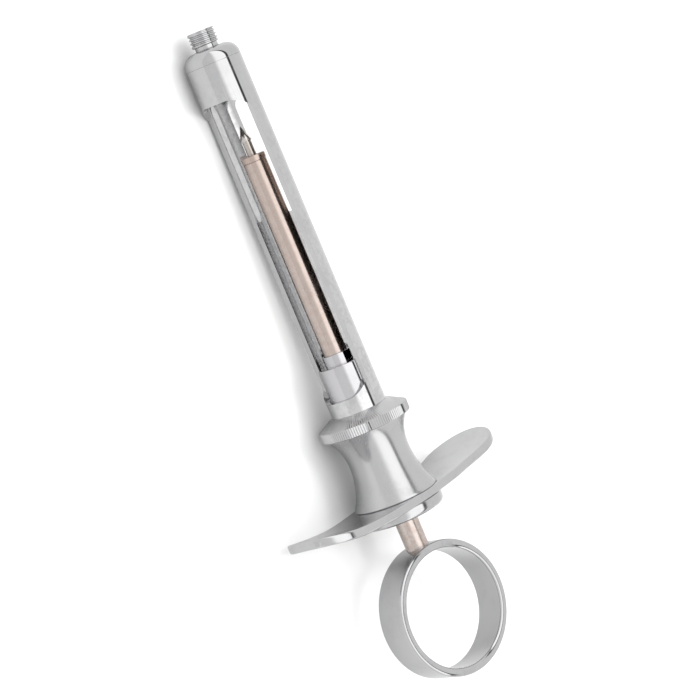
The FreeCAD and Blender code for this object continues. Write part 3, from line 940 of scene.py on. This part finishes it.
    @staticmethod
    def touch(centre: Vector, radius: float, start: Vector, side: int) -> Vector:
        """Where a straight line from a point touches a circle.

        Args:
            centre: the circle's centre.
            radius: its radius.
            start: the point that the line comes from.
            side: 1 or -1, for the two lines there are.

        Returns:
            The touching point.
        """
        away = start - centre
        reach = math.sqrt(away.length_squared - radius ** 2) * side
        return centre + radius * Vector((
            radius * away.x - reach * away.y, radius * away.y + reach * away.x)) / away.length_squared

    def bent(self, place: Vector) -> Vector:
        """Where a vertex of the flat plate goes when the wings are bent towards the needle."""
        run = abs(place.y) - self.plate_flat_half
        if run <= 0:
            return place
        radius = self.wing_bend_radius + place.x - self.hub.end
        return Vector((place.x - radius + math.sqrt(radius ** 2 - run ** 2), place.y, place.z))

    def build_boss(self) -> None:
        """The round boss behind the plate."""
        floor = self.nut.end - self.nut_end_wall
        corners = [
            Corner(self.nut.start, self.shank_hole),
            Corner(self.nut.start, self.nut.radius, self.edge),
            Corner(self.nut.end, self.nut.radius, self.nut_edge),
            Corner(self.nut.end, self.rod_hole, self.edge),
            Corner(floor, self.rod_hole),
            Corner(floor, self.shank_hole),
        ]
        add_piece("rear_boss", turned(rounded(corners), self.steps), "flange_nut", self.boss)

    def build_bearing(self) -> None:
        """The bush that guides the rod, with the groove for the friction ring."""
        start, tail, outer = self.bearing.start, self.bearing.end, self.bearing.radius
        step = start + self.bearing_nose_length
        groove = (self.seal_place - self.seal_half, self.seal_place + self.seal_half)
        corners = [
            Corner(start, self.bearing_counterbore, 0.08),
            Corner(start, self.bearing_nose_radius, 0.12),
            Corner(step, self.bearing_nose_radius),
            Corner(step, outer, self.edge * 1.5),
            Corner(self.hub.start, outer),
            Corner(self.hub.start, self.shank_radius),
            Corner(tail, self.shank_radius, self.edge),
            Corner(tail, self.bearing_bore),
            Corner(self.relief_end, self.bearing_bore),
            Corner(self.relief_end, self.rod_hole),
            Corner(self.relief_start, self.rod_hole),
            Corner(self.relief_start, self.bearing_bore),
            Corner(groove[1], self.bearing_bore),
            Corner(groove[1], self.seal_depth),
            Corner(groove[0], self.seal_depth),
            Corner(groove[0], self.bearing_bore),
            Corner(self.bearing_counterbore_end, self.bearing_bore),
            Corner(self.bearing_counterbore_end, self.bearing_counterbore),
        ]
        add_piece("bearing_bush", turned(rounded(corners), self.steps), "guide_bearing",
                  self.bush)


@dataclass
class Piston:
    """The rod, its head and harpoon, and the thumb ring."""

    socket_radius: float = 0.98
    socket_depth: float = 4.5
    head_edge: float = 0.1
    barb_radius: float = 1.35
    barb_length: float = 3.6
    barb_undercut: float = 0.55
    harpoon_shank: float = 0.95
    slit_width: float = 0.5
    slits: int = 3
    ring_turn: float = 10.8
    ring_wall: float = 1.81
    ring_width: float = 7.8
    ring_edge: float = 0.6
    steps: int = 128
    ring_steps: int = 256
    rod: Span = field(default_factory=lambda: Span.of("piston_rod"))
    head: Span = field(default_factory=lambda: Span.of("piston_head"))
    barb: Span = field(default_factory=lambda: Span.of("harpoon"))
    ring: Span = field(default_factory=lambda: Span.of("thumb_ring"))
    rod_finish: Metal = Metal("warm_rod_metal", (0.54, 0.44, 0.39), (0.44, 0.36, 0.32), 0.22, 0.32,
                              Lay.DRAWN, 7.0, 0.003)
    harpoon_finish: Metal = Metal("harpoon_steel", (0.58, 0.53, 0.49), (0.38, 0.35, 0.33), 0.2, 0.3,
                                  Lay.TURNED, 10.0, 0.004)

    @property
    def ring_radius(self) -> float:
        """The ring's outer radius."""
        return (self.ring.end - self.ring.start) / 2

    @property
    def ring_centre(self) -> float:
        """The place of the ring's centre along the axis."""
        return (self.ring.end + self.ring.start) / 2

    def build(self) -> None:
        """Builds the four pieces."""
        self.build_rod()
        self.build_head()
        self.build_harpoon()
        self.build_ring()

    def build_rod(self) -> None:
        """The rod, hollowed at its end so that it sits on the ring."""
        socket_end = self.rod.start + self.socket_depth
        outline = rounded([
            Corner(self.rod.start, self.socket_radius),
            Corner(self.rod.start, self.rod.radius, self.head_edge),
            Corner(self.ring_centre, self.rod.radius),
            Corner(self.ring_centre, 0),
            Corner(socket_end, 0),
            Corner(socket_end, self.socket_radius),
        ])
        on_axis = [index for index, point in enumerate(outline) if point.y == 0]
        outline = outline[on_axis[1]:] + outline[:on_axis[0] + 1]
        bm = turned(outline, self.steps, closed=False)
        reshape(bm, self.seated)
        add_piece("piston_rod_bar", bm, "piston_rod", self.rod_finish)

    def seated(self, place: Vector) -> Vector:
        """Where a vertex at the rod's end goes when the seat for the ring is cut."""
        if place.x < self.ring_centre - 1e-3:
            return place
        tilt = math.radians(self.ring_turn)
        across = place.y * math.cos(tilt) + place.z * math.sin(tilt)
        return Vector((self.ring_centre - math.sqrt(self.ring_radius ** 2 - across ** 2), place.y, place.z))

    def build_head(self) -> None:
        """The thin rim at the rod's front."""
        corners = [
            Corner(self.head.start, self.socket_radius),
            Corner(self.head.start, self.head.radius, self.head_edge),
            Corner(self.head.end, self.head.radius, self.head_edge * 2),
            Corner(self.head.end, self.socket_radius),
        ]
        add_piece("piston_head_rim", turned(rounded(corners), self.steps), "piston_head",
                  self.rod_finish)

    def build_harpoon(self) -> None:
        """The barbed point: a cone with an undercut skirt, slit into barbs, on a slim shank."""
        tip, root = self.barb.start, self.barb.end
        skirt = tip + self.barb_length
        outline = [Vector((tip, 0))] + rounded([
            Corner(tip, 0),
            Corner(skirt, self.barb_radius, 0.05),
            Corner(skirt - self.barb_undercut, self.harpoon_shank, 0.05),
            Corner(root, self.harpoon_shank, 0.05),
            Corner(root, 0),
        ])[1:]
        bm = turned(outline, self.steps, closed=False)
        cutters = []
        for index in range(self.slits):
            cutter = block(Vector((skirt - 2 * self.barb_undercut, self.harpoon_shank, -self.slit_width / 2)),
                           Vector((skirt + 1, 2 * self.barb_radius, self.slit_width / 2)))
            turn = Matrix.Rotation(math.tau * index / self.slits, 3, "X")
            bmesh.ops.rotate(cutter, cent=(0, 0, 0), matrix=turn, verts=cutter.verts)
            cutters.append(cutter)
        add_piece("harpoon_barb", carve(bm, cutters), "harpoon", self.harpoon_finish)

    def build_ring(self) -> None:
        """The band ring, turned about the axis so that its face leans from the wings' plane."""
        outer = self.ring_radius
        inner = outer - self.ring_wall
        half = self.ring_width / 2
        outline = rounded([
            Corner(-half, inner, self.ring_edge),
            Corner(-half, outer, self.ring_edge),
            Corner(half, outer, self.ring_edge),
            Corner(half, inner, self.ring_edge),
        ])
        bm = turned(outline, self.ring_steps)
        upright = Matrix.Rotation(math.pi / 2, 3, "Y")
        leaning = Matrix.Rotation(math.radians(self.ring_turn), 3, "X")
        bmesh.ops.rotate(bm, cent=(0, 0, 0), matrix=leaning @ upright, verts=bm.verts)
        bmesh.ops.translate(bm, vec=(self.ring_centre, 0, 0), verts=bm.verts)
        finish = chrome("polished_ring", 0.09, 0.17, Lay.BAND, 7.0, 0.003,
                       centre=(self.ring_centre, 0, 0), turn=math.radians(self.ring_turn))
        add_piece("thumb_ring_band", bm, "thumb_ring", finish)


def dress_friction_ring() -> None:
    """Gives the rubber ring, which keeps its own shape, its material."""
    ring = frame["nodes"]["friction_ring"]
    rubber = Rubber().material()
    if ring.material_slots:
        ring.material_slots[0].material = rubber
    else:
        ring.data.materials.append(rubber)
    log.info("friction_ring keeps its shape")


# ---------------------------------------------------------------------------------------------
# studio


# The mirrored room from the front (0) over the top (0.5) to the back (1): place and brightness.
ROOM_PANELS = (
    (0.0, 0.86), (0.25, 0.90), (0.33, 1.55), (0.54, 1.62), (0.55, 0.9), (0.56, 0.07), (0.60, 0.07),
    (0.62, 0.90), (1.0, 0.92),
)


@dataclass
class Camera:
    """Where the camera stands: its direction from what it looks at, its distance and its tilt."""

    aim: tuple[float, float, float] = (0.0689, 0.0045, 0.0)
    azimuth: float = -9.02
    elevation: float = 41.0
    distance: float = 0.5296
    roll: float = 73.12
    lens: float = 130.55
    sensor: float = 36.0

    def build(self) -> None:
        """Makes the camera and hands it to the scene."""
        data = bpy.data.cameras.new("camera")
        data.lens, data.sensor_width = self.lens, self.sensor
        data.clip_start, data.clip_end = 0.01, 20.0
        camera = placed("camera", data)
        around, above = math.radians(self.azimuth), math.radians(self.elevation)
        back = Vector((math.sin(around) * math.cos(above), -math.cos(around) * math.cos(above),
                       math.sin(above)))
        camera.location = Vector(self.aim) + back * self.distance
        camera.rotation_mode = "QUATERNION"
        tilt = Quaternion((0, 0, 1), math.radians(self.roll))
        camera.rotation_quaternion = (-back).to_track_quat("-Z", "Y") @ tilt
        bpy.context.scene.camera = camera


@dataclass
class Studio:
    """The pale floor, the soft lamp, and the pale room that lights the syringe and is mirrored in it."""

    floor_half: float = 3.0
    floor_colour: tuple[float, float, float] = (0.86, 0.86, 0.86)
    # The floor's colour as the metal mirrors it, darker than the floor itself: a painted reflection tone.
    painted_floor_reflection: tuple[float, float, float] = (0.58, 0.58, 0.58)
    rest_at_nose: float = 0.0028
    nose_radius: float = 0.006
    rest_at_collar: float = 0.0825
    backdrop: tuple[float, float, float] = (0.97, 0.97, 0.97)
    dome_level: float = 2.5
    dome_focus: float = 1.2
    lamp_energy: float = 1.9
    lamp_size: float = 0.3
    lamp_place: tuple[float, float, float] = (0.08, 0.22, 1.1)

    def build(self) -> None:
        """Builds the floor, the lamp and the room."""
        self.build_floor()
        self.build_lamp()
        self.build_room()
        view = bpy.context.scene.view_settings
        view.view_transform = "Standard"
        view.look = "None"

    def build_floor(self) -> None:
        """The plain floor, which leans a little so that it meets the collar's rim and the nose, and is
        painted darker where the metal mirrors it.
        """
        collar_low = CAD_BOX[0].z
        lean = math.atan2(-collar_low - self.nose_radius, self.rest_at_collar - self.rest_at_nose)
        bm = bmesh.new()
        bmesh.ops.create_grid(bm, x_segments=1, y_segments=1, size=self.floor_half)
        bmesh.ops.rotate(bm, cent=(0, 0, 0), matrix=Matrix.Rotation(lean, 3, "Y"), verts=bm.verts)
        bmesh.ops.translate(bm, vec=(self.rest_at_collar, 0, collar_low), verts=bm.verts)
        floor = loose_object("studio_floor", bm)
        made, wire = empty_material("pale_floor")
        path = wire.add("ShaderNodeLightPath")
        # Glossy rays see the floor painted darker: painted shade in the metal's reflection of it.
        floor_and_painted_reflection_tone = wire.blend(path.outputs["Is Glossy Ray"], self.floor_colour, self.painted_floor_reflection)
        show_shader(wire, Base_Color=floor_and_painted_reflection_tone, Roughness=0.9, Specular_IOR_Level=0.0)
        floor.data.materials.append(made)

    def build_lamp(self) -> None:
        """A soft square lamp over the syringe, a little behind it, that isn't mirrored in it."""
        data = bpy.data.lights.new("soft_lamp", "AREA")
        data.shape, data.size, data.energy = "SQUARE", self.lamp_size, self.lamp_energy
        lamp = placed("soft_lamp", data)
        lamp.location = self.lamp_place
        lamp.rotation_mode = "QUATERNION"
        lamp.rotation_quaternion = (Vector(Camera.aim) - lamp.location).to_track_quat("-Z", "Y")
        lamp.visible_glossy = False

    def build_room(self) -> None:
        """The room: long pale panels with a dark joint in the metal, a high soft dome on the floor."""
        world = bpy.data.worlds.new("studio_room")
        bpy.context.scene.world = world
        world.use_nodes = True
        world.node_tree.nodes.clear()
        wire = Wiring(world.node_tree)
        place = wire.add("ShaderNodeTexCoord")
        apart = wire.add("ShaderNodeSeparateXYZ", Vector=place.outputs["Generated"])
        forward = wire.math("MULTIPLY", apart.outputs["Y"], -1.0)
        angle = wire.math("ARCTAN2", apart.outputs["Z"], forward)
        ramp = wire.add("ShaderNodeValToRGB", Fac=wire.math("DIVIDE", angle, math.pi))
        elements = ramp.color_ramp.elements
        elements[0].position, elements[1].position = ROOM_PANELS[0][0], ROOM_PANELS[-1][0]
        for position, _ in ROOM_PANELS[1:-1]:
            elements.new(position)
        for element, (_, level) in zip(elements, ROOM_PANELS):
            element.color = (level, level, level, 1)
        height = wire.math("MAXIMUM", apart.outputs["Z"], 0.0)
        dome = wire.math("MULTIPLY", wire.math("POWER", height, self.dome_focus), self.dome_level)
        path = wire.add("ShaderNodeLightPath")
        lit = wire.blend(path.outputs["Is Glossy Ray"], dome, ramp.outputs["Color"])
        shown = wire.blend(path.outputs["Is Camera Ray"], lit, self.backdrop)
        back = wire.add("ShaderNodeBackground", Color=shown, Strength=1.0)
        out = wire.add("ShaderNodeOutputWorld")
        wire.join(back.outputs["Background"], out.inputs["Surface"])


def main() -> None:
    """Builds the syringe from the needle end to the thumb ring, then the studio round it."""
    logging.basicConfig(level=logging.INFO, format="%(name)s: %(message)s")
    for assembly in (NeedleAdaptor(), Barrel(), Handle(), Piston()):
        assembly.build()
    dress_friction_ring()
    Camera().build()
    Studio().build()


if __name__ == "__main__":
    main()
